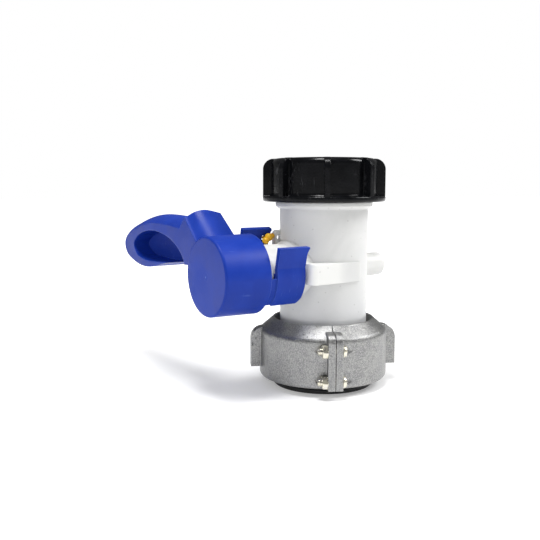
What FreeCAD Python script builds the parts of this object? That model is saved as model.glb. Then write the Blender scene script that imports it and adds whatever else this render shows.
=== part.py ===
import FreeCAD, Part
import os
from math import cos, sin, radians, sqrt

# Butterfly valve for an intermediate bulk container (IBC), standing on its inlet.
# Millimetres.  Z is the flow axis, z = 0 is the underside of the inlet seal.
# The valve stem lies along X at STEM_Z, with the handle hub towards -X.
# Solids of the stem and handle are drawn in a stem frame (b, z, a) and then placed:
#   a runs outwards along the stem (row -X), b is row -Y, z is up from the stem axis.

# ---------------------------------------------------------------- driving dimensions
TOTAL_H = 139.2
STEM_Z = 72.0

BORE_R = 23.5            # flow passage
TUBE_R = 27.2            # outside of the tube, also the root of the outlet thread
TUBE_FOOT_R = 26.9       # the moulded tube has a slight draft
BODY_TOP_Z = 134.2
INLET_R, INLET_L = 25.5, 28.0    # wider bore of the inlet spigot
SPIGOT_R = 28.6          # plugs into the 62 mm neck of the tank
SPIGOT_Z = 1.6
BEAD_R = 29.8            # bead that ends the outlet thread under the cap
BEAD_Z0, BEAD_Z1 = 108.7, 112.8
COLLAR_R = 33.8          # the coupling ring pulls on this collar
COLLAR_Z0, COLLAR_Z1 = 29.5, 34.8

SEAL_R = 31.2            # rubber sleeve over the spigot
SEAL_H = 9.0
SEAL_GAP = 0.05          # sleeve drawn free of the spigot it grips

STEM_R = 8.0             # stem in the neck
SPINDLE_R = 5.0          # stem through the disc and in the far bearing
RUN_FIT = 0.06           # radial running clearance
STEM_STEP_A = 25.2       # shoulder between the two diameters
SPINDLE_END_A = -41.5
SQUARE_A0, SQUARE_A1 = 58.0, 78.0
SQUARE_W = 11.0

NECK_R = 16.4
NECK_END_A = 54.4
SNAP_FLANGE_R = 19.2     # the handle's hooks catch behind this flange
SNAP_FLANGE_A0 = 50.4
STOP_ARC_A1 = 57.4       # raised arc on the neck's end face
STOP_R0, STOP_R1 = 13.0, 18.4
TRAVEL = 90.0            # closed to open
STOP_KEY_ANGLE = 45.0    # key on the handle, closed
STOP_KEY_HALF = 7.0
STOP_MARGIN = 0.6

BEARING_R = 7.7          # closed boss opposite the hub
BEARING_END_X = 45.5

WEB_HALF_H = 6.0         # flat web across the tube at the stem
WEB_HALF_W = 27.9
WEB_X0, WEB_X1 = -28.6, 5.9

LUG_X0, LUG_X1 = -28.4, -22.0    # locking tab beside the rear ear
LUG_Y0, LUG_Y1 = 11.6, 15.2
LUG_H = 23.7
LOCK_HOLE_R = 1.7
LOCK_Z, LOCK_A = 19.3, 34.9      # hole of the rear ear in the stem frame

DISC_R = 21.2
DISC_RIM_HALF = 2.5
DISC_BOSS_R = 7.6
DISC_SEAL_R = 23.15
PIN_R = 1.5
PIN_A = 12.0
ORING_R = 1.19
ORING_CENTRE_R = 6.85
ORING_A = (34.0, 44.0)

HUB_R0, HUB_R1 = 23.35, 22.8     # hub at its rim and at its closed face
HUB_A0, HUB_A1 = 54.3, 83.3
HUB_WALL = 2.9
SOCKET_R = 11.5
SOCKET_A0 = 59.6

EAR_R0, EAR_R1 = 20.3, 23.3
EAR_A0, EAR_A1 = 30.9, 50.2
EAR_HOOK_A = 29.6
EAR_LOW = -48.0          # angles from b towards z
EAR_BEND = 11.0
EAR_TIP = (25.8, 16.1)
EAR_MIRROR = 77.0        # the rear ear mirrors the front one about this line
SLIT_FROM, SLIT_TO = -3.0, 36.0   # opening between the ear and the hub
HOOK_R = 17.4
HOOK_A0, HOOK_A1 = 47.2, 49.9

LEVER_A0, LEVER_A1 = 56.0, 79.5
CROWN = 5.4              # rise of the rounded back over the lever's flat sides
GRIP_EDGE = ((-40.0, 25.2), (-54.0, 26.4), (-68.0, 27.0), (-82.0, 26.6), (-96.5, 24.2),
             (-110.0, 20.6), (-119.4, 17.0), (-124.4, 11.0), (-122.4, 5.6), (-114.8, 1.4),
             (-101.2, -1.9), (-84.8, -2.4), (-70.7, -0.1), (-58.8, 2.6))
TIP_POINT = 8            # the crown fades out at this point of the grip's edge
POCKET_EDGE = ((-58.8, 2.6), (-72.2, 2.0), (-86.2, 1.6), (-97.6, 2.8), (-105.9, 5.9),
               (-109.0, 11.2), (-105.4, 15.5), (-95.1, 19.8), (-82.1, 21.9), (-66.9, 21.2),
               (-52.5, 18.1), (-41.6, 13.0), (-34.2, 6.0))
POCKET_DISH = (52.0, 25.0, 20.5)     # half axes of the scooped floor, along b, z and a
POCKET_DISH_AT = (-66.0, 9.0)
KNUCKLE_U0, KNUCKLE_U1 = 12.0, 45.7  # measured up the 45 degree line of the lever
KNUCKLE_T0 = -10.4
# Back of the knuckle in section, (a, t): at its open end, and where it meets the hub.
KNUCKLE_END = ((79.5, 0.0), (77.9, 0.9), (75.7, 3.3), (72.4, 5.2), (68.7, 6.0), (64.6, 5.4),
               (62.3, 4.8))
KNUCKLE_ROOT = ((79.5, 0.0), (77.9, 1.2), (75.7, 3.8), (72.4, 6.2), (68.7, 7.2), (64.6, 7.4),
                (62.3, 7.3))
SHOULDER_END, SHOULDER_ROOT = 2.8, 7.1

CAP_Z0 = 113.2
CAP_RIM_R, CAP_RIM_H = 37.6, 3.4
CAP_R = 32.4
CAP_BORE_R = 30.4
CAP_TOP = 2.8
CAP_FINS, CAP_FIN_R, CAP_FIN_W = 8, 37.5, 3.2
CAP_FIN_ANGLE = 10.0
CAP_SEAL_T = 1.8
CAP_SHOULDER, CAP_NECK_FILLET = 3.4, 1.6

RING_Z0, RING_Z1 = 5.1, 41.5
RING_R = 39.6
RING_MOUTH_R, RING_LIP_R = 30.1, 31.2
RING_CORNER_Z = 34.2     # where the straight side and the conical shoulder meet
RING_CORNER_FILLET, RING_FOOT_FILLET = 4.5, 2.4
RING_BORE_R = 36.3       # root of the 75 mm coarse thread
RING_LEDGE_Z = 35.1
SPLIT_ANGLE = -118.3
SPLIT_HALF_GAP = 0.25
FLANGE_T, FLANGE_R = 4.35, 45.5
FLANGE_Z0, FLANGE_Z1, FLANGE_CORNER = 6.0, 38.4, 5.5
WING_R, WING_W = 45.6, 8.0
WING_Z0, WING_Z1, WING_CORNER = 11.2, 36.0, 8.0
BOLT_R, BOLT_HEIGHTS, BOLT_RADIUS = 2.0, (10.6, 28.6), 42.3
BOLT_END = 2.6           # beyond the nut
SPOT_FACE_R, SPOT_FACE_DEEP = 4.4, 9.0
NUT_AF, NUT_T = 7.0, 3.2
HEAD_R, HEAD_T = 3.7, 2.4

V = FreeCAD.Vector
UP = V(0, 0, 1)


# ---------------------------------------------------------------- helpers
def face(points):
    """Flat face inside a closed polygon."""
    points = [V(*p) for p in points]
    return Part.Face(Part.makePolygon(points + points[:1]))


def prism(points, height):
    """Polygon in the XY plane of its frame, raised along z by height."""
    return face(points).extrude(V(0, 0, height))


def turned(profile):
    """Solid of revolution about z from (radius, z) points."""
    return face([(r, 0, z) for r, z in profile]).revolve(V(), UP, 360)


def cylinder(radius, z0, z1):
    return Part.makeCylinder(radius, z1 - z0, V(0, 0, z0))


def tube(r0, r1, z0, z1):
    return cylinder(r1, z0, z1).cut(cylinder(r0, z0 - 1, z1 + 1))


def polar(radius, angle):
    return radius * cos(radians(angle)), radius * sin(radians(angle))


def sector(r0, r1, z0, z1, start, end):
    """Ring sector between two angles in degrees."""
    wedge = Part.makeCylinder(r1, z1 - z0, V(0, 0, z0), UP, end - start)
    wedge.rotate(V(), UP, start)
    return wedge.cut(cylinder(r0, z0 - 1, z1 + 1))


def box(x0, x1, y0, y1, z0, z1):
    return Part.makeBox(x1 - x0, y1 - y0, z1 - z0, V(x0, y0, z0))


def turn(shape, angle):
    shape = shape.copy()
    shape.rotate(V(), UP, angle)
    return shape


def soften(shape, radius, keep):
    """Fillet the edges that the keep test picks."""
    edges = [e for e in shape.Edges if keep(e)]
    return shape.makeFillet(radius, edges) if edges else shape


def at_height(z, tolerance=0.01):
    """Test for edges that lie in one level plane."""
    def test(edge):
        bounds = edge.BoundBox
        return abs(bounds.ZMin - z) < tolerance and abs(bounds.ZMax - z) < tolerance
    return test


def on_stem(shape):
    """Place a solid of the stem frame (b, z, a) in the valve's frame."""
    shape = shape.copy()
    shape.Placement = FreeCAD.Placement(FreeCAD.Matrix(
        0, 0, -1, 0,
        -1, 0, 0, 0,
        0, 1, 0, STEM_Z,
        0, 0, 0, 1))
    return shape


def one_solid(shape):
    """The result of a boolean as a single solid."""
    shape = shape.removeSplitter()
    solids = shape.Solids
    if len(solids) != 1:
        raise ValueError("expected one solid, found %d" % len(solids))
    return solids[0]


def put(name, shape):
    if not shape.isValid():
        raise ValueError(name + " is not a valid shape")
    print("%-26s volume %9.1f  faces %4d" % (name, shape.Volume, len(shape.Faces)))
    shape.exportStep("parts/%s.step" % name)


# ---------------------------------------------------------------- valve body
def valve_body():
    outside = turned([
        (0, SPIGOT_Z), (SPIGOT_R - 0.8, SPIGOT_Z), (SPIGOT_R, SPIGOT_Z + 0.8),
        (SPIGOT_R, COLLAR_Z0), (COLLAR_R - 0.6, COLLAR_Z0), (COLLAR_R, COLLAR_Z0 + 0.6),
        (COLLAR_R, COLLAR_Z1 - 0.8), (COLLAR_R - 0.8, COLLAR_Z1), (TUBE_FOOT_R, COLLAR_Z1),
        (TUBE_R, BEAD_Z0), (BEAD_R - 0.3, BEAD_Z0 + 1.5), (BEAD_R, BEAD_Z0 + 2.0),
        (BEAD_R, BEAD_Z1), (TUBE_R, BEAD_Z1),
        (TUBE_R, BODY_TOP_Z - 1.0), (TUBE_R - 1.0, BODY_TOP_Z),
        (0, BODY_TOP_Z)])
    web = box(WEB_X0, WEB_X1, -WEB_HALF_W, WEB_HALF_W, STEM_Z - WEB_HALF_H, STEM_Z + WEB_HALF_H)
    web = soften(web, 3.0, lambda e: e.BoundBox.ZLength > 1 and e.BoundBox.XMax < WEB_X0 + 0.1)

    neck = turned([
        (0, 20.0), (NECK_R + 1.6, 20.0), (NECK_R + 1.6, 29.6), (NECK_R, 31.2),
        (NECK_R, SNAP_FLANGE_A0), (SNAP_FLANGE_R, SNAP_FLANGE_A0),
        (SNAP_FLANGE_R, NECK_END_A - 1.2), (SNAP_FLANGE_R - 1.2, NECK_END_A), (0, NECK_END_A)])
    gap_from = STOP_KEY_ANGLE + STOP_KEY_HALF + STOP_MARGIN
    gap_to = STOP_KEY_ANGLE - STOP_KEY_HALF - STOP_MARGIN - TRAVEL
    stop = sector(STOP_R0, STOP_R1 - 0.6, NECK_END_A - 1.5, STOP_ARC_A1, gap_from, gap_to + 360)
    bearing = turned([
        (0, -20.0), (BEARING_R, -20.0), (BEARING_R - 0.2, -BEARING_END_X + 0.8),
        (BEARING_R - 1.0, -BEARING_END_X), (0, -BEARING_END_X)])
    stem_parts = neck.fuse([stop, bearing])

    bore_of_stem = cylinder(STEM_R + RUN_FIT, STEM_STEP_A - 0.1, STOP_ARC_A1 + 1).fuse(
        cylinder(SPINDLE_R + RUN_FIT, SPINDLE_END_A - 0.4, STEM_STEP_A))

    lug = box(LUG_X0, LUG_X1, LUG_Y0, LUG_Y1, STEM_Z, STEM_Z + LUG_H)
    lug = soften(lug, 2.5, lambda e: e.BoundBox.YLength > 1
                 and e.BoundBox.ZMin > STEM_Z + 1 and e.BoundBox.XMax < LUG_X1 - 1)
    lug_hole = Part.makeCylinder(LOCK_HOLE_R, 30, V(-25.4, 0, STEM_Z + 19.3), V(0, 1, 0))

    body = outside.fuse([web, on_stem(stem_parts), lug.cut(lug_hole)])
    passage = turned([(0, -1), (INLET_R, -1), (INLET_R, INLET_L), (BORE_R, INLET_L + 4),
                      (BORE_R, TOTAL_H), (0, TOTAL_H)])
    body = body.cut(passage)
    return one_solid(body.cut(on_stem(bore_of_stem)))


def inlet_seal():
    sleeve_r = SPIGOT_R + SEAL_GAP
    lip_z = SPIGOT_Z - SEAL_GAP
    return turned([
        (INLET_R, 0), (SEAL_R - 0.6, 0), (SEAL_R, 0.6), (SEAL_R, 2.4), (SEAL_R - 0.7, 3.1),
        (SEAL_R - 0.7, 4.3), (SEAL_R, 5.0), (SEAL_R, 6.4), (SEAL_R - 0.8, SEAL_H),
        (sleeve_r, SEAL_H), (sleeve_r, lip_z), (INLET_R, lip_z)])


# ---------------------------------------------------------------- inside the passage
def butterfly_disc():
    """Drawn closed, level across the bore, with a boss for the stem."""
    rim = DISC_RIM_HALF
    blade = turned([(0, -rim - 2.6), (9.0, -rim - 2.2), (DISC_R, -rim), (DISC_R, rim),
                    (9.0, rim + 2.2), (0, rim + 2.6)])
    groove = tube(DISC_R - 1.8, DISC_R + 1, -1.3, 1.3)
    boss = Part.makeCylinder(DISC_BOSS_R, 2 * DISC_R - 0.6, V(-DISC_R + 0.3, 0, 0), V(1, 0, 0))
    disc = blade.cut(groove).fuse(boss.common(cylinder(DISC_R, -20, 20)))
    disc = disc.cut(Part.makeCylinder(SPINDLE_R + 0.03, 60, V(-30, 0, 0), V(1, 0, 0)))
    for x in (-PIN_A, PIN_A):
        disc = disc.cut(Part.makeCylinder(PIN_R + 0.03, 30, V(x, 0, -15)))
    disc.translate(V(0, 0, STEM_Z))
    return one_solid(disc)


def disc_seal():
    """Moulded rubber ring in the disc's groove, with its lip part of a ball."""
    half = 1.2
    ring = tube(DISC_R - 1.7, DISC_SEAL_R + 1, -half, half)
    ring = ring.common(Part.makeSphere(DISC_SEAL_R))
    ring = ring.cut(Part.makeCylinder(DISC_BOSS_R + 0.1, 60, V(-30, 0, 0), V(1, 0, 0)))
    ring.translate(V(0, 0, STEM_Z))
    return Part.makeCompound(ring.Solids)


def stem():
    body = turned([
        (0, SPINDLE_END_A), (SPINDLE_R - 0.8, SPINDLE_END_A), (SPINDLE_R, SPINDLE_END_A + 0.8),
        (SPINDLE_R, STEM_STEP_A), (STEM_R - 0.4, STEM_STEP_A), (STEM_R, STEM_STEP_A + 0.4),
        (STEM_R, SQUARE_A0), (0, SQUARE_A0)])
    half = SQUARE_W / 2
    square = box(-half, half, -half, half, SQUARE_A0 - 1, SQUARE_A1)
    square = square.common(cylinder(7.4, 50, 90))
    body = body.fuse(square)
    for a in ORING_A:
        body = body.cut(tube(ORING_CENTRE_R - ORING_R - 0.01, STEM_R + 1, a - 1.6, a + 1.6))
    for a in (-PIN_A, PIN_A):
        hole = Part.makeCylinder(PIN_R + 0.03, 20, V(0, -10, a), V(0, 1, 0))
        body = body.cut(hole)
    return one_solid(on_stem(body))


def stem_o_ring(a):
    return on_stem(Part.makeTorus(ORING_CENTRE_R, ORING_R, V(0, 0, a)))


def disc_pins():
    length = 2 * (DISC_BOSS_R - 0.5)
    pins = [Part.makeCylinder(PIN_R, length, V(x, 0, STEM_Z - length / 2))
            for x in (-PIN_A, PIN_A)]
    return Part.makeCompound(pins)


# ---------------------------------------------------------------- handle
def hub():
    shell = turned([(0, HUB_A0), (HUB_R0, HUB_A0), (HUB_R1, HUB_A1), (0, HUB_A1)])
    shell = soften(shell, 1.2, at_height(HUB_A1))
    cavity = turned([(0, HUB_A0 - 1), (EAR_R0, HUB_A0 - 1), (EAR_R0, HUB_A0 + 3),
                     (HUB_R1 - HUB_WALL, HUB_A1 - HUB_WALL), (0, HUB_A1 - HUB_WALL)])
    return shell, cavity


def socket():
    """Square socket for the stem, its four ribs and the stop key."""
    floor_a = HUB_A1 - HUB_WALL
    boss = cylinder(SOCKET_R, SOCKET_A0, floor_a + 0.5)
    pieces = []
    for angle in (45, 135, 225, 315):
        rib = box(SOCKET_R - 1, EAR_R0 + 0.3, -1.1, 1.1, 63.0, floor_a + 0.5)
        pieces.append(turn(rib, angle))
    key = sector(STOP_R0 + 0.6, STOP_R1 - 1.0, STOP_ARC_A1 - 2.6, 66.0,
                 STOP_KEY_ANGLE - STOP_KEY_HALF, STOP_KEY_ANGLE + STOP_KEY_HALF)
    pieces.append(key)
    half = SQUARE_W / 2 + 0.03
    hole = box(-half, half, -half, half, SOCKET_A0 - 1, SQUARE_A1 + 0.3)
    return boss.fuse(pieces).cut(hole)


def ear_section(inset):
    """Outline of an ear across the stem: an arc that straightens out to the tip."""
    outer = EAR_R1 - inset
    low0, low1 = polar(EAR_R0, EAR_LOW), polar(outer, EAR_LOW)
    mid = (EAR_LOW + EAR_BEND) / 2
    bend0, bend1 = polar(EAR_R0, EAR_BEND), polar(outer, EAR_BEND)
    tip1 = (EAR_TIP[0] - inset, EAR_TIP[1])
    tip0 = (EAR_TIP[0] - 3.1, EAR_TIP[1] + 0.4)
    points = {"low0": low0, "low1": low1, "bend0": bend0, "bend1": bend1,
              "tip0": tip0, "tip1": tip1}
    point = {k: V(p[0], p[1], 0) for k, p in points.items()}
    edges = [
        Part.Arc(point["low1"], V(*polar(outer, mid), 0), point["bend1"]).toShape(),
        Part.LineSegment(point["bend1"], point["tip1"]).toShape(),
        Part.LineSegment(point["tip1"], point["tip0"]).toShape(),
        Part.LineSegment(point["tip0"], point["bend0"]).toShape(),
        Part.Arc(point["bend0"], V(*polar(EAR_R0, mid), 0), point["low0"]).toShape(),
        Part.LineSegment(point["low0"], point["low1"]).toShape()]
    return Part.Face(Part.Wire(edges))


def ear():
    """Front ear with its rounded foot, hooked tip, bridges to the hub and snap hook."""
    plate = ear_section(0)
    plate.translate(V(0, 0, EAR_HOOK_A - 1))
    plate = plate.extrude(V(0, 0, EAR_A1 - EAR_HOOK_A + 1))
    foot_z, round_r = -19.0, 6.5
    corner = (foot_z + round_r, EAR_A0 + round_r)
    hook = (EAR_TIP[1] - 4.6, EAR_A0)
    lead = radians(225)
    outline = [
        Part.LineSegment(V(0, foot_z, EAR_A1), V(0, foot_z, corner[1])).toShape(),
        Part.Arc(V(0, foot_z, corner[1]),
                 V(0, corner[0] + round_r * cos(lead), corner[1] + round_r * sin(lead)),
                 V(0, corner[0], EAR_A0)).toShape(),
        Part.LineSegment(V(0, corner[0], EAR_A0), V(0, hook[0], hook[1])).toShape(),
        Part.Arc(V(0, hook[0], hook[1]), V(0, EAR_TIP[1] - 2.4, EAR_A0 - 0.45),
                 V(0, EAR_TIP[1] - 0.9, EAR_HOOK_A)).toShape(),
        Part.LineSegment(V(0, EAR_TIP[1] - 0.9, EAR_HOOK_A),
                         V(0, EAR_TIP[1] + 1, EAR_HOOK_A + 0.5)).toShape(),
        Part.LineSegment(V(0, EAR_TIP[1] + 1, EAR_HOOK_A + 0.5),
                         V(0, EAR_TIP[1] + 1, EAR_A1)).toShape(),
        Part.LineSegment(V(0, EAR_TIP[1] + 1, EAR_A1), V(0, foot_z, EAR_A1)).toShape()]
    side = Part.Face(Part.Wire(outline)).extrude(V(40, 0, 0))
    plate = plate.common(side)

    bridge = ear_section(0.8)
    bridge.translate(V(0, 0, EAR_A1 - 0.4))
    bridge = bridge.extrude(V(0, 0, HUB_A0 - EAR_A1 + 0.8))
    slit = sector(EAR_R0 - 3, EAR_R1 + 6, EAR_A1, HUB_A0, SLIT_FROM, SLIT_TO)
    inside_hub = cylinder(HUB_R0 - 0.6, EAR_A1 - 2, HUB_A0 + 2)
    bridge = bridge.common(inside_hub).cut(slit)

    snap = sector(HOOK_R, EAR_R0 + 0.5, HOOK_A0, HOOK_A1, EAR_LOW + 8, EAR_BEND - 6)
    lead_in = Part.makeCone(EAR_R0 + 0.2, HOOK_R, HOOK_A1 - HOOK_A0, V(0, 0, HOOK_A0))
    snap = snap.cut(lead_in)
    return plate.fuse([bridge, snap])


def mirrored(shape):
    normal = V(-sin(radians(EAR_MIRROR)), cos(radians(EAR_MIRROR)), 0)
    return shape.mirror(V(), normal)


def spline(points, a):
    curve = Part.BSplineCurve()
    curve.interpolate([V(b, z, a) for b, z in points])
    return curve.toShape()


def line(p, q, a):
    return Part.LineSegment(V(p[0], p[1], a), V(q[0], q[1], a)).toShape()


def slope_point(u, t):
    """Point u up the 45 degree line of the lever and t across it."""
    return ((t - u) / sqrt(2), (t + u) / sqrt(2))


def grip():
    """Curved plate of the lever, flat towards both ends of the stem."""
    tip, start = GRIP_EDGE[-1], GRIP_EDGE[0]
    root_low, root_high = (-15.0, 4.5), slope_point(20.0, -2.0)
    edges = [spline(GRIP_EDGE, LEVER_A0), line(tip, root_low, LEVER_A0),
             line(root_low, root_high, LEVER_A0), line(root_high, start, LEVER_A0)]
    return Part.Face(Part.Wire(edges)).extrude(V(0, 0, LEVER_A1 - LEVER_A0))


def crown_section(curve, at, rise, root=1.0):
    """Arc over a chord as wide as the lever, square to the grip's edge at one point."""
    place = curve.value(at)
    along = curve.tangent(at)[0]
    outward = V(along.y, -along.x, 0)
    half = V(0, 0, (LEVER_A1 - LEVER_A0) / 2)
    low = outward * -root
    corners = [place + half, place + half + low, place - half + low, place - half]
    edges = [Part.Arc(place - half, place + outward * rise, place + half).toShape()]
    edges += [Part.LineSegment(p, q).toShape() for p, q in zip(corners, corners[1:])]
    return Part.Wire(edges)


def crown():
    """Rounded back that follows the grip's edge, and its end that fades out round the tip."""
    mid_a = (LEVER_A0 + LEVER_A1) / 2
    curve = spline(GRIP_EDGE, mid_a).Curve
    start = curve.FirstParameter
    tip, last = [curve.parameter(V(*GRIP_EDGE[k], mid_a)) for k in (TIP_POINT - 2, TIP_POINT)]
    at_start, at_tip = [crown_section(curve, at, CROWN) for at in (start, tip)]
    back = Part.Wire([curve.toShape(start, tip)]).makePipeShell([at_start], True, False)
    end = Part.Wire([curve.toShape(tip, last)]).makePipeShell(
        [at_tip, crown_section(curve, last, 0.6)], True, False)
    return [back, end]


def knuckle_section(u, back, shoulder):
    """Section of the knuckle across its length: crowned back, with a sloping facet."""
    def at(a, t):
        b, z = slope_point(u, t)
        return V(b, z, a)
    curve = Part.BSplineCurve()
    curve.interpolate([at(a, t) for a, t in back])
    corners = [at(*back[-1]), at(LEVER_A0, shoulder), at(LEVER_A0, KNUCKLE_T0),
               at(LEVER_A1, KNUCKLE_T0), at(*back[0])]
    edges = [curve.toShape()]
    edges += [Part.LineSegment(p, q).toShape() for p, q in zip(corners, corners[1:])]
    return Part.Wire(edges)


def knuckle():
    """Block that carries the grip on the hub."""
    return Part.makeLoft([knuckle_section(KNUCKLE_U0, KNUCKLE_ROOT, SHOULDER_ROOT),
                          knuckle_section(KNUCKLE_U1, KNUCKLE_END, SHOULDER_END)], True, True)


def pocket():
    """Scooped hollow of the grip, open towards its closed end and below the knuckle."""
    edges = [spline(POCKET_EDGE, LEVER_A0 - 5),
             line(POCKET_EDGE[-1], (-31.0, -9.0), LEVER_A0 - 5),
             line((-31.0, -9.0), (POCKET_EDGE[0][0], -9.0), LEVER_A0 - 5),
             line((POCKET_EDGE[0][0], -9.0), POCKET_EDGE[0], LEVER_A0 - 5)]
    outline = Part.Face(Part.Wire(edges)).extrude(V(0, 0, 60))
    half_b, half_z, deep = POCKET_DISH
    scale = FreeCAD.Matrix()
    scale.scale(half_b, half_z, deep)
    dish = Part.makeSphere(1.0).transformGeometry(scale)
    dish.translate(V(*POCKET_DISH_AT, LEVER_A1 + 0.05))
    return outline.common(dish)


def handle():
    shell, cavity = hub()
    solid = shell.fuse([grip(), knuckle()] + crown())
    solid = solid.cut(pocket())
    front_ear = ear()
    solid = solid.fuse([front_ear, mirrored(front_ear)])
    solid = solid.cut(cavity).fuse(socket())
    lock_hole = Part.makeCylinder(LOCK_HOLE_R, 16, V(-22, LOCK_Z, LOCK_A), V(1, 0, 0))
    return one_solid(on_stem(solid.cut(lock_hole)))


def tamper_seal():
    """Plastic security seal, its loop closed round the edge of the rear ear."""
    loop_r, wire_r = 2.6, 0.7
    loop = Part.makeTorus(loop_r, wire_r, V(-16.0, LOCK_Z, LOCK_A - loop_r), V(0, 1, 0))
    knot = Part.makeSphere(2.5, V(-11.4, LOCK_Z + 0.4, LOCK_A - 1.6))
    lobe = Part.makeSphere(2.1, V(-10.8, LOCK_Z - 1.6, LOCK_A + 1.0))
    end = Part.makeSphere(1.7, V(-11.0, LOCK_Z + 1.2, LOCK_A - 3.7))
    return one_solid(on_stem(loop.fuse([knot, lobe, end])))


# ---------------------------------------------------------------- outlet cap
def outlet_cap():
    z1 = TOTAL_H
    rim_z = CAP_Z0 + CAP_RIM_H
    skirt = turned([(0, CAP_Z0), (CAP_RIM_R, CAP_Z0), (CAP_RIM_R, rim_z), (CAP_R, rim_z),
                    (CAP_R, z1), (0, z1)])
    fin = box(CAP_R - 4, CAP_FIN_R, -CAP_FIN_W / 2, CAP_FIN_W / 2, rim_z - 1, z1)
    fin = soften(fin, 6.5, lambda e: e.BoundBox.XMin > CAP_FIN_R - 0.1
                 and e.BoundBox.ZMin > z1 - 0.1)
    skirt = soften(skirt, CAP_SHOULDER, at_height(z1))
    skirt = soften(skirt, 1.0, lambda e: e.BoundBox.XMax > CAP_RIM_R - 0.1
                   and e.BoundBox.ZLength < 0.1)
    skirt = soften(skirt, CAP_NECK_FILLET, lambda e: at_height(rim_z)(e)
                   and e.BoundBox.XMax < CAP_R + 0.1)
    fins = [turn(fin, CAP_FIN_ANGLE + 360.0 * k / CAP_FINS) for k in range(CAP_FINS)]
    return one_solid(skirt.fuse(fins).cut(cylinder(CAP_BORE_R, CAP_Z0 - 1, z1 - CAP_TOP)))


def cap_seal():
    top = TOTAL_H - CAP_TOP - 0.08
    return tube(BORE_R, CAP_BORE_R - 0.3, top - CAP_SEAL_T, top)


# ---------------------------------------------------------------- coupling ring
def bell():
    """Wall of the coupling ring: straight side, conical shoulder, ledge and bore."""
    shell = turned([
        (RING_BORE_R, RING_Z0), (RING_R, RING_Z0), (RING_R, RING_CORNER_Z),
        (RING_LIP_R, RING_Z1), (RING_MOUTH_R + 0.4, RING_Z1), (RING_MOUTH_R, RING_Z1 - 0.4),
        (RING_MOUTH_R, RING_LEDGE_Z), (RING_BORE_R - 1.2, RING_LEDGE_Z),
        (RING_BORE_R, RING_LEDGE_Z - 1.2)])
    shell = soften(shell, RING_CORNER_FILLET, at_height(RING_CORNER_Z))
    return soften(shell, RING_FOOT_FILLET,
                  lambda e: at_height(RING_Z0)(e) and e.BoundBox.XMax > RING_R - 0.1)


def rounded_tab(reach, thickness, z0, z1, corner):
    """Plate standing out of the ring along x, its upper outer corner rounded."""
    tab = box(30.0, reach, -thickness / 2, thickness / 2, z0, z1)
    tab = soften(tab, corner, lambda e: e.BoundBox.XMin > reach - 0.1
                 and e.BoundBox.ZMin > z1 - 0.1)
    inside_r = RING_BORE_R + 0.9
    hollow = turned([(0, 0), (inside_r, 0), (inside_r, RING_LEDGE_Z - 1.0),
                     (RING_MOUTH_R + 2.6, RING_LEDGE_Z + 3.0), (RING_MOUTH_R + 2.6, 50),
                     (0, 50)])
    return tab.cut(hollow)


def clamp_half(start):
    """Half of the coupling ring, from the split plane at this angle round to the other."""
    flange = rounded_tab(FLANGE_R, 2 * FLANGE_T, FLANGE_Z0, FLANGE_Z1, FLANGE_CORNER)
    wing = turn(rounded_tab(WING_R, WING_W, WING_Z0, WING_Z1, WING_CORNER), 90)
    half = bell().fuse([flange, turn(flange, 180), wing])
    half = half.common(box(-60, 60, SPLIT_HALF_GAP, 60, 0, 60))
    for z in BOLT_HEIGHTS:
        for x in (-BOLT_RADIUS, BOLT_RADIUS):
            hole = Part.makeCylinder(BOLT_R + 0.2, 20, V(x, -10, z), V(0, 1, 0))
            spot = Part.makeCylinder(SPOT_FACE_R, SPOT_FACE_DEEP, V(x, FLANGE_T, z), V(0, 1, 0))
            half = half.cut([hole, spot])
    return one_solid(turn(half, start))


def ring_place(shape, side):
    """Place a solid drawn across the split flange at angle 0."""
    return turn(shape, SPLIT_ANGLE + side)


def nut(side, z):
    """Hexagon nut on its flange, with chamfered corners, bored for the bolt."""
    start = -FLANGE_T - 0.05 if side == 0 else FLANGE_T + 0.05
    direction = -1 if side == 0 else 1
    corner = NUT_AF / sqrt(3)
    hexagon = prism([(*polar(corner, 60 * k), 0) for k in range(6)], NUT_T)
    dome = Part.makeCone(corner + NUT_T - 0.5, corner - 0.5, NUT_T)
    solid = hexagon.common(dome).cut(cylinder(BOLT_R + 0.02, -1, NUT_T + 1))
    return along_bolt(solid, start, direction, z, side)


def along_bolt(solid, start, direction, z, side):
    """Turn a solid drawn along z onto the bolt's line, growing in one direction."""
    solid = solid.copy()
    solid.rotate(V(), V(1, 0, 0), -90 * direction)
    solid.translate(V(BOLT_RADIUS, start, z))
    return ring_place(solid, side)


def bolt(side, z):
    """Pan head screw from the other flange, a little longer than its nut."""
    start = FLANGE_T + 0.05 if side == 0 else -FLANGE_T - 0.05
    direction = 1 if side == 0 else -1
    head = turned([(0, 0), (HEAD_R, 0), (HEAD_R, 0.7), (HEAD_R - 0.6, HEAD_T - 0.5),
                   (HEAD_R - 1.6, HEAD_T), (0, HEAD_T)])
    length = 2 * FLANGE_T + NUT_T + BOLT_END
    shank = turned([(0, 0.2), (BOLT_R, 0.2), (BOLT_R, 0.4 - length), (BOLT_R - 0.4, -length),
                    (0, -length)])
    return along_bolt(head.fuse(shank), start, direction, z, side)


# ---------------------------------------------------------------- write the pieces
os.makedirs("parts", exist_ok=True)

put("valve_body", valve_body())
put("inlet_seal", inlet_seal())
put("butterfly_disc", butterfly_disc())
put("disc_seal", disc_seal())
put("stem", stem())
put("stem_o_ring_inner", stem_o_ring(ORING_A[0]))
put("stem_o_ring_outer", stem_o_ring(ORING_A[1]))
put("disc_pins", disc_pins())
put("handle", handle())
put("tamper_seal", tamper_seal())
put("outlet_cap", outlet_cap())
put("cap_seal", cap_seal())

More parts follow.
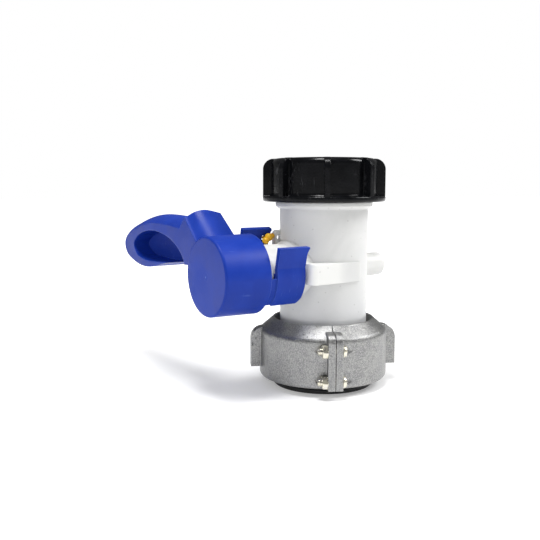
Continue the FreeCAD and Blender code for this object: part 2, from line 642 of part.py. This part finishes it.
put("clamp_half_far_side", clamp_half(SPLIT_ANGLE))
put("clamp_half_hub_side", clamp_half(SPLIT_ANGLE + 180))
put("clamp_bolts_front", Part.makeCompound([bolt(0, z) for z in BOLT_HEIGHTS]))
put("clamp_nuts_front", Part.makeCompound([nut(0, z) for z in BOLT_HEIGHTS]))
put("clamp_bolts_rear", Part.makeCompound([bolt(180, z) for z in BOLT_HEIGHTS]))
put("clamp_nuts_rear", Part.makeCompound([nut(180, z) for z in BOLT_HEIGHTS]))
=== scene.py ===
"""Looks of a butterfly valve for a bulk liquid container: studio, finishes and the fine moulded, cast and
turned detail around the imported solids. Lengths are in millimetres until they are multiplied by MM."""

from math import atan2, cos, hypot, pi, radians, sin, tau

import bmesh
import bpy
from mathutils import Matrix, Vector


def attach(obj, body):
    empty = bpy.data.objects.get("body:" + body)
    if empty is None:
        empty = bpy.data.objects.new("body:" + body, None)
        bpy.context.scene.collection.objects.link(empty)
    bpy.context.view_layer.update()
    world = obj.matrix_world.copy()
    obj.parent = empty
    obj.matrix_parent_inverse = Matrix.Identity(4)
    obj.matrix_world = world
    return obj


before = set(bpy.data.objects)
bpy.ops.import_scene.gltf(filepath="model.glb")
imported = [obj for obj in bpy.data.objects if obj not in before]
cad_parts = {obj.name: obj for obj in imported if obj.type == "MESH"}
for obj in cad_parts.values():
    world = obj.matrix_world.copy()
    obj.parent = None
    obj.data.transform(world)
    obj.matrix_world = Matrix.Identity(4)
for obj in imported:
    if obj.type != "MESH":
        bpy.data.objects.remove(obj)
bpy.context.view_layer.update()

MM = 0.001

# Driving dimensions of the pieces that are added here, in millimetres.
STEM_Z = 72.0
HUB_FACE_X = -83.3
TUBE_R = 27.2
THREAD_PITCH = 6.0
THREAD_RUN_OUT = 0.16
OUTLET_CREST_R = 29.9
OUTLET_THREAD_Z = (115.2, 131.2)
CAP_BORE_R = 30.4
CAP_CREST_R = 28.0
CAP_THREAD_Z = (116.0, 131.5)
RING_BORE_R = 36.3
RING_CREST_R = 34.9
RING_THREAD_Z = (12.0, 27.0)
SPLIT_ANGLE = radians(-118.3)
BOLT_RADIUS = 42.3
BOLT_Z = (10.6, 28.6)
FLANGE_T = 4.35
SCREW_R = 2.0
SCREW_PITCH = 0.7
NUT_T = 3.2
SCREW_END = 2.6


# ---------------------------------------------------------------- small helpers

def piece(name, bm, body, material):
    """Turns a bmesh in millimetres into a finished piece that rides on a body."""
    bmesh.ops.scale(bm, vec=(MM, MM, MM), verts=bm.verts)
    bmesh.ops.recalc_face_normals(bm, faces=bm.faces)
    mesh = bpy.data.meshes.new(name)
    bm.to_mesh(mesh)
    bm.free()
    obj = bpy.data.objects.new(name, mesh)
    bpy.context.scene.collection.objects.link(obj)
    mesh.materials.append(material)
    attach(obj, body)
    return obj


def smooth(obj, angle=35.0):
    """Smooth shading that keeps edges sharper than an angle in degrees."""
    for face in obj.data.polygons:
        face.use_smooth = True
    obj.data.set_sharp_from_angle(angle=radians(angle))
    return obj


def dress(node, material):
    """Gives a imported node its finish."""
    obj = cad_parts[node]
    obj.data.materials.clear()
    obj.data.materials.append(material)


def ease(t):
    """A smooth step from 0 to 1."""
    t = min(max(t, 0.0), 1.0)
    return t * t * (3 - 2 * t)


# ---------------------------------------------------------------- node helpers

class Sketch:
    """A node tree with short calls for adding and joining nodes."""

    def __init__(self, tree):
        self.tree = tree

    def node(self, kind, settings=None, **inputs):
        """Adds a node, sets its properties, then links or sets its inputs by name."""
        made = self.tree.nodes.new("ShaderNode" + kind)
        for key, value in (settings or {}).items():
            setattr(made, key, value)
        for key, value in inputs.items():
            self.feed(made.inputs[key.replace("_", " ")], value)
        return made

    def feed(self, socket, value):
        """Links an output, or sets a plain value."""
        if isinstance(value, bpy.types.NodeSocket):
            self.tree.links.new(value, socket)
        else:
            socket.default_value = value

    def math(self, operation, a, b=0.0, clamp=False):
        """One step of arithmetic."""
        made = self.node("Math", {"operation": operation, "use_clamp": clamp})
        self.feed(made.inputs[0], a)
        self.feed(made.inputs[1], b)
        return made.outputs[0]

    def ramp(self, value, low, high, start=0.0, end=1.0):
        """Maps a value from low..high to start..end, smoothly and clamped."""
        made = self.node("MapRange", {"interpolation_type": "SMOOTHSTEP"})
        for name, number in (("From Min", low), ("From Max", high), ("To Min", start), ("To Max", end)):
            self.feed(made.inputs[name], number)
        self.feed(made.inputs["Value"], value)
        return made.outputs["Result"]

    def mix(self, amount, a, b, blend="MIX"):
        """Mixes two colours."""
        made = self.node("Mix", {"data_type": "RGBA", "blend_type": blend})
        self.feed(made.inputs["Factor"], amount)
        colour_inputs = [s for s in made.inputs if s.type == "RGBA"]
        self.feed(colour_inputs[0], a)
        self.feed(colour_inputs[1], b)
        return [s for s in made.outputs if s.type == "RGBA"][0]

    def noise(self, place, scale, detail=3.0, rough=0.5, distort=0.0):
        """Noise at a scale in waves per metre."""
        made = self.node("TexNoise", {}, Vector=place, Scale=scale, Detail=detail, Roughness=rough)
        made.inputs["Distortion"].default_value = distort
        return made.outputs[0]

    def place(self, scale=(1, 1, 1), shift=(0, 0, 0), turned=(0, 0, 0)):
        """Object coordinates, stretched, shifted or turned."""
        where = self.node("TexCoord").outputs["Object"]
        made = self.node("Mapping", {}, Vector=where)
        made.inputs["Location"].default_value = shift
        made.inputs["Rotation"].default_value = turned
        made.inputs["Scale"].default_value = scale
        return made.outputs[0]


def group(name, inputs, outputs, build):
    """A shader node group with named inputs (name, default) and outputs (name, socket type)."""
    tree = bpy.data.node_groups.new(name, "ShaderNodeTree")
    for label, default in inputs:
        socket = tree.interface.new_socket(label, in_out="INPUT", socket_type="NodeSocketFloat")
        socket.default_value = default
    for label, kind in outputs:
        tree.interface.new_socket(label, in_out="OUTPUT", socket_type=kind)
    start = tree.nodes.new("NodeGroupInput")
    end = tree.nodes.new("NodeGroupOutput")
    results = build(Sketch(tree), start.outputs)
    for label, _ in outputs:
        tree.links.new(results[label], end.inputs[label])
    return tree


def use(sketch, tree, **values):
    """Places a node group in a material and sets its inputs."""
    made = sketch.node("Group", {"node_tree": tree})
    for label, value in values.items():
        sketch.feed(made.inputs[label.replace("_", " ")], value)
    return made.outputs


def new_material(name):
    """An empty material with a Principled shader: returns the material, its sketch and the shader."""
    material = bpy.data.materials.new(name)
    material.use_nodes = True
    material.node_tree.nodes.clear()
    sketch = Sketch(material.node_tree)
    shader = sketch.node("BsdfPrincipled")
    output = sketch.node("OutputMaterial")
    material.node_tree.links.new(shader.outputs[0], output.inputs["Surface"])
    return material, sketch, shader


def bumped(sketch, shader, height, distance, strength=1.0, under=None):
    """Feeds a height through a Bump node into the shader's normal."""
    bump = sketch.node("Bump", {}, Height=height, Distance=distance, Strength=strength)
    if under is not None:
        sketch.feed(bump.inputs["Normal"], under)
    sketch.feed(shader.inputs["Normal"], bump.outputs[0])


# ---------------------------------------------------------------- shared effects

def soft_edges():
    """Rounds hard edges in the shading and marks where they are."""
    def build(s, given):
        bevel = s.node("Bevel", {"samples": 6}, Radius=given["Radius"])
        true_normal = s.node("NewGeometry").outputs["Normal"]
        same = s.node("VectorMath", {"operation": "DOT_PRODUCT"})
        s.feed(same.inputs[0], bevel.outputs[0])
        s.feed(same.inputs[1], true_normal)
        turn = s.math("SUBTRACT", 1.0, same.outputs["Value"])
        edge = s.ramp(turn, 0.015, 0.2)
        return {"Normal": bevel.outputs[0], "Edge": edge}
    return group("soft edges", [("Radius", 0.0004)],
                 [("Normal", "NodeSocketVector"), ("Edge", "NodeSocketFloat")], build)


def moulded_skin():
    """The fine orange peel and slow thickness waves of an injection moulded wall."""
    def build(s, given):
        where = s.place()
        peel = s.noise(where, given["Peel Scale"], 2.0, 0.55)
        waves = s.noise(where, given["Wave Scale"], 1.5, 0.4, 0.4)
        high = s.math("MULTIPLY", waves, given["Wave Depth"])
        height = s.math("ADD", peel, high)
        tone = s.noise(where, given["Tone Scale"], 3.0, 0.55, 0.6)
        return {"Height": height, "Tone": tone}
    return group("moulded skin",
                 [("Peel Scale", 1600.0), ("Wave Scale", 55.0), ("Wave Depth", 3.0), ("Tone Scale", 40.0)],
                 [("Height", "NodeSocketFloat"), ("Tone", "NodeSocketFloat")], build)


def handling_scuffs():
    """Hair lines in two directions and soft rubbed patches."""
    def build(s, given):
        first = s.noise(s.place((900, 60, 120), (0.1, 0.2, 0), (0.4, 0.2, 0.7)), 1.0, 2.0, 0.6)
        second = s.noise(s.place((70, 800, 200), (0.3, 0, 0.1), (0.9, 0.5, 0.2)), 1.0, 2.0, 0.6)
        patches = s.ramp(s.noise(s.place(shift=(0.5, 0.2, 0.1)), given["Patch Scale"], 2.0), 0.48, 0.62)
        first_line = s.ramp(first, given["Threshold"], 0.80)
        second_line = s.ramp(second, given["Threshold"], 0.80)
        lines = s.math("MAXIMUM", first_line, second_line)
        return {"Lines": s.math("MULTIPLY", lines, patches), "Patches": patches}
    return group("handling scuffs", [("Patch Scale", 35.0), ("Threshold", 0.64)],
                 [("Lines", "NodeSocketFloat"), ("Patches", "NodeSocketFloat")], build)


def cast_grain():
    """The tumbled skin of a die casting: fine grain, dents and small dark pits."""
    def build(s, given):
        where = s.place()
        fine = s.noise(where, given["Grain Scale"], 3.0, 0.7)
        coarse = s.noise(where, given["Dent Scale"], 2.5, 0.55, 0.5)
        cells = s.node("TexVoronoi", {"feature": "F1"}, Vector=where, Scale=given["Pit Scale"])
        gate = s.noise(where, 90.0, 1.0)
        pit = s.math("MULTIPLY", s.ramp(cells.outputs["Distance"], 0.10, 0.24, 1.0, 0.0), s.ramp(gate, 0.52, 0.66))
        raised = s.math("ADD", fine, s.math("MULTIPLY", coarse, 1.6))
        height = s.math("SUBTRACT", raised, s.math("MULTIPLY", pit, 1.2))
        return {"Height": height, "Grain": fine, "Dents": coarse, "Pits": pit}
    return group("cast grain", [("Grain Scale", 1500.0), ("Dent Scale", 260.0), ("Pit Scale", 420.0)],
                 [("Height", "NodeSocketFloat"), ("Grain", "NodeSocketFloat"),
                  ("Dents", "NodeSocketFloat"), ("Pits", "NodeSocketFloat")], build)


EDGES = soft_edges()
SKIN = moulded_skin()
SCUFFS = handling_scuffs()
CASTING = cast_grain()


# ---------------------------------------------------------------- finishes

def natural_polyethylene():
    """Natural polyethylene: milky, whiter where it is thick, greyer on the tube wall, and darkened towards the
    bottom by painted shade.
    """
    material, s, shader = new_material("natural_polyethylene")
    where = s.node("TexCoord").outputs["Object"]
    parts = s.node("SeparateXYZ", {}, Vector=where)
    x, y, z = parts.outputs
    radius = s.math("SQRT", s.math("ADD", s.math("MULTIPLY", x, x), s.math("MULTIPLY", y, y)))
    thick = s.ramp(radius, (TUBE_R + 0.4) * MM, (TUBE_R + 3.0) * MM)
    skin = use(s, SKIN, Peel_Scale=900.0, Wave_Scale=70.0, Wave_Depth=2.5, Tone_Scale=38.0)
    scuff = use(s, SCUFFS, Patch_Scale=45.0, Threshold=0.62)
    wall = s.mix(s.ramp(skin["Tone"], 0.3, 0.7), (0.72, 0.725, 0.715, 1), (0.79, 0.79, 0.78, 1))
    # Painted shade: from 70 mm down to 35 mm the wall is mixed up to half way towards a bluish grey, standing in
    # for the shade on the lower tube.
    low = s.ramp(z, 0.070, 0.035)
    wall = s.mix(s.math("MULTIPLY", low, 0.5), wall, (0.56, 0.57, 0.60, 1))
    colour = s.mix(thick, wall, (0.85, 0.85, 0.83, 1))
    specks = s.node("TexVoronoi", {"feature": "F1"}, Vector=where, Scale=190.0)
    speck = s.math("MULTIPLY", s.ramp(specks.outputs["Distance"], 0.05, 0.11, 1.0, 0.0), 0.35)
    colour = s.mix(speck, colour, (0.32, 0.32, 0.30, 1))
    colour = s.mix(s.math("MULTIPLY", scuff["Lines"], 0.25), colour, (0.88, 0.88, 0.88, 1))
    edges = use(s, EDGES, Radius=0.0006)
    s.feed(shader.inputs["Base Color"], colour)
    s.feed(shader.inputs["Roughness"], s.ramp(skin["Tone"], 0.25, 0.75, 0.34, 0.50))
    shader.inputs["Subsurface Weight"].default_value = 0.35
    shader.inputs["Subsurface Radius"].default_value = (1.0, 1.0, 0.95)
    shader.inputs["Subsurface Scale"].default_value = 0.003
    bumped(s, shader, skin["Height"], 0.00005, 0.6, edges["Normal"])
    return material


def gate_mark(s):
    """Height and mask of the small injection gate in the middle of the hub's face."""
    x, y, z = s.node("SeparateXYZ", {}, Vector=s.node("TexCoord").outputs["Object"]).outputs
    up = s.math("SUBTRACT", z, STEM_Z * MM)
    radius = s.math("SQRT", s.math("ADD", s.math("MULTIPLY", y, y), s.math("MULTIPLY", up, up)))
    on_face = s.ramp(x, (HUB_FACE_X + 0.3) * MM, (HUB_FACE_X + 0.1) * MM)
    wobble = s.noise(s.place(), 700.0, 2.0, 0.6)
    radius = s.math("ADD", radius, s.math("MULTIPLY", s.math("SUBTRACT", wobble, 0.5), 0.0012))
    nub = s.ramp(radius, 0.0002, 0.0009, 1.0, 0.0)
    ring = s.math("MULTIPLY", s.ramp(radius, 0.0016, 0.0021), s.ramp(radius, 0.0027, 0.0033, 1.0, 0.0))
    height = s.math("SUBTRACT", s.math("MULTIPLY", nub, 3.0), s.math("MULTIPLY", ring, 0.9))
    return s.math("MULTIPLY", height, on_face), s.math("MULTIPLY", nub, on_face)


def blue_polypropylene():
    """Satin blue polypropylene with a fine moulded skin, a painted highlight lightening its edges, and light
    handling marks.
    """
    material, s, shader = new_material("blue_polypropylene")
    skin = use(s, SKIN, Peel_Scale=1900.0, Wave_Scale=70.0, Wave_Depth=3.0, Tone_Scale=45.0)
    scuff = use(s, SCUFFS, Patch_Scale=38.0, Threshold=0.62)
    edges = use(s, EDGES, Radius=0.0008)
    gate_height, gate = gate_mark(s)
    colour = s.mix(s.ramp(skin["Tone"], 0.3, 0.7), (0.008, 0.036, 0.32, 1), (0.012, 0.047, 0.38, 1))
    # Painted highlight: the edges are mixed towards a lighter blue to stand in for the light they catch.
    colour = s.mix(s.math("MULTIPLY", edges["Edge"], 0.4), colour, (0.10, 0.19, 0.68, 1))
    colour = s.mix(s.math("MULTIPLY", scuff["Lines"], 0.35), colour, (0.12, 0.20, 0.58, 1))
    colour = s.mix(s.math("MULTIPLY", gate, 0.5), colour, (0.16, 0.30, 0.75, 1))
    s.feed(shader.inputs["Base Color"], colour)
    rough = s.ramp(skin["Tone"], 0.25, 0.75, 0.34, 0.44)
    s.feed(shader.inputs["Roughness"], s.math("ADD", rough, s.math("MULTIPLY", scuff["Patches"], 0.05)))
    shader.inputs["Specular IOR Level"].default_value = 0.17
    shader.inputs["Subsurface Weight"].default_value = 0.05
    shader.inputs["Subsurface Radius"].default_value = (0.2, 0.35, 1.0)
    shader.inputs["Subsurface Scale"].default_value = 0.0015
    bumped(s, shader, s.math("ADD", skin["Height"], gate_height), 0.00006, 0.8, edges["Normal"])
    return material


def black_cap_plastic():
    """Glossy black polypropylene."""
    material, s, shader = new_material("black_cap_plastic")
    skin = use(s, SKIN, Peel_Scale=1200.0, Wave_Scale=90.0, Wave_Depth=3.0, Tone_Scale=60.0)
    scuff = use(s, SCUFFS, Patch_Scale=50.0, Threshold=0.60)
    edges = use(s, EDGES, Radius=0.0009)
    colour = s.mix(s.ramp(skin["Tone"], 0.3, 0.7), (0.0022, 0.0024, 0.003, 1), (0.0045, 0.0048, 0.006, 1))
    colour = s.mix(s.math("MULTIPLY", scuff["Lines"], 0.5), colour, (0.05, 0.05, 0.055, 1))
    s.feed(shader.inputs["Base Color"], colour)
    shader.inputs["Specular IOR Level"].default_value = 0.18
    rough = s.ramp(skin["Tone"], 0.25, 0.75, 0.15, 0.24)
    s.feed(shader.inputs["Roughness"], s.math("ADD", rough, s.math("MULTIPLY", scuff["Lines"], 0.2)))
    bumped(s, shader, skin["Height"], 0.00006, 0.5, edges["Normal"])
    return material


def cast_aluminium():
    """Tumbled die cast aluminium: matt grey grain, rubbed bright along its edges."""
    material, s, shader = new_material("cast_aluminium")
    grain = use(s, CASTING, Grain_Scale=1400.0, Dent_Scale=240.0, Pit_Scale=430.0)
    edges = use(s, EDGES, Radius=0.0009)
    base = s.mix(s.ramp(grain["Dents"], 0.3, 0.7), (0.22, 0.22, 0.225, 1), (0.29, 0.29, 0.285, 1))
    base = s.mix(s.math("MULTIPLY", s.ramp(grain["Grain"], 0.42, 0.62), 0.75), base, (0.50, 0.50, 0.49, 1))
    base = s.mix(s.math("MULTIPLY", grain["Pits"], 0.7), base, (0.12, 0.12, 0.125, 1))
    base = s.mix(s.math("MULTIPLY", edges["Edge"], 0.5), base, (0.66, 0.66, 0.65, 1))
    s.feed(shader.inputs["Base Color"], base)
    shader.inputs["Metallic"].default_value = 1.0
    rough = s.ramp(grain["Grain"], 0.3, 0.7, 0.34, 0.52)
    s.feed(shader.inputs["Roughness"], s.math("SUBTRACT", rough, s.math("MULTIPLY", edges["Edge"], 0.12)))
    bumped(s, shader, grain["Height"], 0.00016, 1.0, edges["Normal"])
    return material


def zinc_steel():
    """Bright zinc plate, passivated slightly yellow, with a fine mottled tone."""
    material, s, shader = new_material("zinc_steel")
    skin = use(s, SKIN, Peel_Scale=2500.0, Wave_Scale=300.0, Wave_Depth=1.0, Tone_Scale=420.0)
    edges = use(s, EDGES, Radius=0.0003)
    colour = s.mix(s.ramp(skin["Tone"], 0.35, 0.65), (0.66, 0.64, 0.58, 1), (0.82, 0.78, 0.62, 1))
    colour = s.mix(s.math("MULTIPLY", edges["Edge"], 0.5), colour, (0.88, 0.88, 0.86, 1))
    s.feed(shader.inputs["Base Color"], colour)
    shader.inputs["Metallic"].default_value = 1.0
    s.feed(shader.inputs["Roughness"], s.ramp(skin["Tone"], 0.3, 0.7, 0.22, 0.38))
    bumped(s, shader, skin["Height"], 0.00004, 0.6, edges["Normal"])
    return material


def black_rubber():
    """Matt black sealing rubber with a faint bloom."""
    material, s, shader = new_material("black_rubber")
    skin = use(s, SKIN, Peel_Scale=2200.0, Wave_Scale=120.0, Wave_Depth=2.0, Tone_Scale=90.0)
    bloom = s.ramp(skin["Tone"], 0.45, 0.75)
    colour = s.mix(s.math("MULTIPLY", bloom, 0.5), (0.010, 0.010, 0.011, 1), (0.030, 0.030, 0.031, 1))
    s.feed(shader.inputs["Base Color"], colour)
    s.feed(shader.inputs["Roughness"], s.ramp(skin["Tone"], 0.3, 0.7, 0.50, 0.68))
    bumped(s, shader, skin["Height"], 0.00008, 0.6)
    return material


def yellow_seal_plastic():
    """Soft yellow plastic of the tamper seal."""
    material, s, shader = new_material("yellow_seal_plastic")
    skin = use(s, SKIN, Peel_Scale=2400.0, Wave_Scale=200.0, Wave_Depth=2.0, Tone_Scale=160.0)
    edges = use(s, EDGES, Radius=0.0003)
    colour = s.mix(s.ramp(skin["Tone"], 0.3, 0.7), (0.70, 0.33, 0.008, 1), (0.80, 0.46, 0.014, 1))
    s.feed(shader.inputs["Base Color"], colour)
    s.feed(shader.inputs["Roughness"], s.ramp(skin["Tone"], 0.3, 0.7, 0.32, 0.46))
    shader.inputs["Subsurface Weight"].default_value = 0.25
    shader.inputs["Subsurface Radius"].default_value = (1.0, 0.5, 0.1)
    shader.inputs["Subsurface Scale"].default_value = 0.001
    bumped(s, shader, skin["Height"], 0.00005, 0.6, edges["Normal"])
    return material


def disc_plastic():
    """Glass filled off-white plastic of the disc."""
    material, s, shader = new_material("disc_plastic")
    skin = use(s, SKIN, Peel_Scale=1100.0, Wave_Scale=80.0, Wave_Depth=2.0, Tone_Scale=70.0)
    edges = use(s, EDGES, Radius=0.0004)
    colour = s.mix(s.ramp(skin["Tone"], 0.3, 0.7), (0.62, 0.63, 0.61, 1), (0.74, 0.74, 0.72, 1))
    s.feed(shader.inputs["Base Color"], colour)
    s.feed(shader.inputs["Roughness"], s.ramp(skin["Tone"], 0.3, 0.7, 0.42, 0.55))
    bumped(s, shader, skin["Height"], 0.00006, 0.6, edges["Normal"])
    return material


def stainless_pin():
    """Drawn stainless wire."""
    material, s, shader = new_material("stainless_pin")
    skin = use(s, SKIN, Peel_Scale=2600.0, Wave_Scale=300.0, Wave_Depth=1.0, Tone_Scale=500.0)
    colour = s.mix(s.ramp(skin["Tone"], 0.3, 0.7), (0.55, 0.55, 0.54, 1), (0.66, 0.66, 0.65, 1))
    s.feed(shader.inputs["Base Color"], colour)
    shader.inputs["Metallic"].default_value = 1.0
    s.feed(shader.inputs["Roughness"], s.ramp(skin["Tone"], 0.3, 0.7, 0.20, 0.32))
    bumped(s, shader, skin["Height"], 0.00003, 0.5)
    return material


NATURAL = natural_polyethylene()
BLUE = blue_polypropylene()
BLACK = black_cap_plastic()
ALUMINIUM = cast_aluminium()
ZINC = zinc_steel()
RUBBER = black_rubber()
YELLOW = yellow_seal_plastic()
DISC = disc_plastic()
STEEL = stainless_pin()

for node, finish in (
    ("valve_body", NATURAL), ("inlet_seal", RUBBER), ("butterfly_disc", DISC), ("disc_seal", RUBBER),
    ("stem", NATURAL), ("stem_o_ring_inner", RUBBER), ("stem_o_ring_outer", RUBBER), ("disc_pins", STEEL),
    ("handle", BLUE), ("tamper_seal", YELLOW), ("outlet_cap", BLACK), ("cap_seal", RUBBER),
    ("clamp_half_far_side", ALUMINIUM), ("clamp_half_hub_side", ALUMINIUM),
    ("clamp_bolts_front", ZINC), ("clamp_nuts_front", ZINC),
    ("clamp_bolts_rear", ZINC), ("clamp_nuts_rear", ZINC),
):
    dress(node, finish)


# ---------------------------------------------------------------- threads

def thread_ridge(root, crest, z_range, start_turn, root_width, crest_width, pitch=THREAD_PITCH):
    """A helical ridge from the root radius to the crest radius, run out softly at both ends."""
    bm = bmesh.new()
    low, high = z_range
    turns = (high - low) / pitch
    sunk = root + (0.3 if crest < root else -0.3)
    outline = [(sunk, -root_width / 2), (crest, -crest_width / 2), (crest, crest_width / 2), (sunk, root_width / 2)]
    corners = [bm.verts.new((r, 0, low + z)) for r, z in outline]
    profile = bm.faces.new(corners)
    steps = round(turns * 48)
    bmesh.ops.spin(bm, geom=[profile] + list(profile.edges), cent=(0, 0, 0), axis=(0, 0, 1),
                   dvec=(0, 0, (high - low) / steps), angle=turns * tau, steps=steps)
    for v in bm.verts:
        angle = atan2(v.co.y, v.co.x) / tau
        along = round((v.co.z - low) / pitch - angle) + angle
        height = ease(min(along, turns - along) / THREAD_RUN_OUT)
        radius = hypot(v.co.x, v.co.y)
        v.co.xy *= (sunk + (radius - sunk) * (0.12 + 0.88 * height)) / radius
    bmesh.ops.rotate(bm, verts=bm.verts, cent=(0, 0, 0), matrix=Matrix.Rotation(start_turn, 3, "Z"))
    return bm


def outlet_thread():
    """The coarse sixty millimetre thread at the outlet, whose lowest turn shows under the cap."""
    bm = thread_ridge(TUBE_R, OUTLET_CREST_R, OUTLET_THREAD_Z, radians(-150), 4.4, 2.2)
    return smooth(piece("outlet_thread", bm, "body", NATURAL))


def cap_thread():
    """The cap's inner thread, half a pitch away from the outlet's."""
    bm = thread_ridge(CAP_BORE_R, CAP_CREST_R, CAP_THREAD_Z, radians(30), 3.0, 1.2)
    return smooth(piece("cap_thread", bm, "cap", BLACK))


def ring_thread():
    """The clamp ring's inner thread for the tank neck."""
    bm = thread_ridge(RING_BORE_R, RING_CREST_R, RING_THREAD_Z, 0.0, 4.0, 1.8)
    return smooth(piece("ring_thread", bm, "coupling_ring", ALUMINIUM))


def screw_threads():
    """The threads of the four screws where they stand out of their nuts."""
    bm = bmesh.new()
    for side, lean in ((SPLIT_ANGLE, radians(90)), (SPLIT_ANGLE + pi, radians(-90))):
        outwards = -1 if lean > 0 else 1
        for z in BOLT_Z:
            one = thread_ridge(SCREW_R, SCREW_R + 0.25, (0.3, SCREW_END - 0.5), 0.0, 0.6, 0.15, SCREW_PITCH)
            place = Matrix.Rotation(side, 4, "Z")
            place = place @ Matrix.Translation((BOLT_RADIUS, outwards * (FLANGE_T + NUT_T + 0.05), z))
            bmesh.ops.transform(one, verts=one.verts, matrix=place @ Matrix.Rotation(lean, 4, "X"))
            part = bpy.data.meshes.new("screw_thread")
            one.to_mesh(part)
            one.free()
            bm.from_mesh(part)
            bpy.data.meshes.remove(part)
    return smooth(piece("screw_threads", bm, "coupling_ring", ZINC))


outlet_thread()
cap_thread()
ring_thread()
screw_threads()


# ---------------------------------------------------------------- studio

CAMERA_AT = Vector((-0.2700, -0.3428, 0.1228))
CAMERA_TURN = radians(56.14)
CAMERA_DIP = radians(6.85)
LENS = 46.8


def camera():
    """The camera, a little above the valve and off its handle's side."""
    data = bpy.data.cameras.new("camera")
    data.lens = LENS
    data.sensor_width = 36.0
    data.clip_start = 0.01
    obj = bpy.data.objects.new("camera", data)
    bpy.context.scene.collection.objects.link(obj)
    ahead = Vector((cos(CAMERA_DIP) * cos(CAMERA_TURN), cos(CAMERA_DIP) * sin(CAMERA_TURN), -sin(CAMERA_DIP)))
    obj.location = CAMERA_AT
    obj.rotation_euler = ahead.to_track_quat("-Z", "Y").to_euler()
    bpy.context.scene.camera = obj


def softbox(name, side, forward, up, size, power, mirrored=True, target=(0, 0, 0.07)):
    """A square soft lamp, placed by metres to the right of, beyond and above the valve as the camera sees it."""
    right = Vector((sin(CAMERA_TURN), -cos(CAMERA_TURN), 0))
    ahead = Vector((cos(CAMERA_TURN), sin(CAMERA_TURN), 0))
    data = bpy.data.lights.new(name, "AREA")
    data.shape = "RECTANGLE"
    data.size, data.size_y = size
    data.energy = power
    obj = bpy.data.objects.new(name, data)
    bpy.context.scene.collection.objects.link(obj)
    obj.location = right * side + ahead * forward + Vector((0, 0, up))
    obj.rotation_euler = (Vector(target) - obj.location).to_track_quat("-Z", "Y").to_euler()
    obj.visible_glossy = mirrored


def white_room(diffuse_level, mirror_level):
    """The world: plain soft light, dimmer in reflections, and plain white where the camera sees it."""
    world = bpy.data.worlds.new("white_room")
    bpy.context.scene.world = world
    world.use_nodes = True
    world.node_tree.nodes.clear()
    s = Sketch(world.node_tree)
    path = s.node("LightPath").outputs
    mirror = s.math("MULTIPLY", path["Is Glossy Ray"], mirror_level - diffuse_level)
    seen = s.math("MAXIMUM", path["Is Camera Ray"], path["Is Transmission Ray"])
    strength = s.math("MAXIMUM", s.math("ADD", mirror, diffuse_level), seen)
    back = s.node("Background", {}, Color=(1, 1, 1, 1), Strength=strength)
    out = s.node("OutputWorld")
    world.node_tree.links.new(back.outputs[0], out.inputs["Surface"])


def floor():
    """A wide pale floor that stays white around the valve and keeps its shadow."""
    bm = bmesh.new()
    bmesh.ops.create_grid(bm, x_segments=1, y_segments=1, size=6.0)
    mesh = bpy.data.meshes.new("floor")
    bm.to_mesh(mesh)
    bm.free()
    obj = bpy.data.objects.new("floor", mesh)
    bpy.context.scene.collection.objects.link(obj)
    material = bpy.data.materials.new("studio_floor")
    material.use_nodes = True
    material.node_tree.nodes.clear()
    s = Sketch(material.node_tree)
    paper = s.node("BsdfDiffuse", {}, Color=(0.80, 0.80, 0.80, 1))
    path = s.node("LightPath").outputs
    seen = s.math("MAXIMUM", path["Is Camera Ray"], path["Is Glossy Ray"])
    seen = s.math("MAXIMUM", seen, path["Is Transmission Ray"])
    x, y, z = s.node("SeparateXYZ", {}, Vector=s.node("TexCoord").outputs["Object"]).outputs
    away = s.math("SQRT", s.math("ADD", s.math("MULTIPLY", x, x), s.math("MULTIPLY", y, y)))
    glow_level = s.ramp(away, 0.10, 0.45, 0.26, 1.0)
    glow = s.node("Emission", {}, Strength=s.math("MULTIPLY", seen, glow_level))
    both = s.node("AddShader")
    s.feed(both.inputs[0], paper.outputs[0])
    s.feed(both.inputs[1], glow.outputs[0])
    out = s.node("OutputMaterial")
    material.node_tree.links.new(both.outputs[0], out.inputs["Surface"])
    mesh.materials.append(material)


camera()
softbox("window_light", 0.80, -0.02, 0.78, (0.30, 0.45), 7.0)
softbox("top_light", -0.08, -0.20, 1.0, (0.22, 0.34), 7.0)
softbox("fill_light", -0.9, -0.9, 0.6, (0.9, 0.9), 4.5, mirrored=False)
white_room(0.40, 0.16)
floor()

bpy.context.scene.view_settings.view_transform = "Standard"
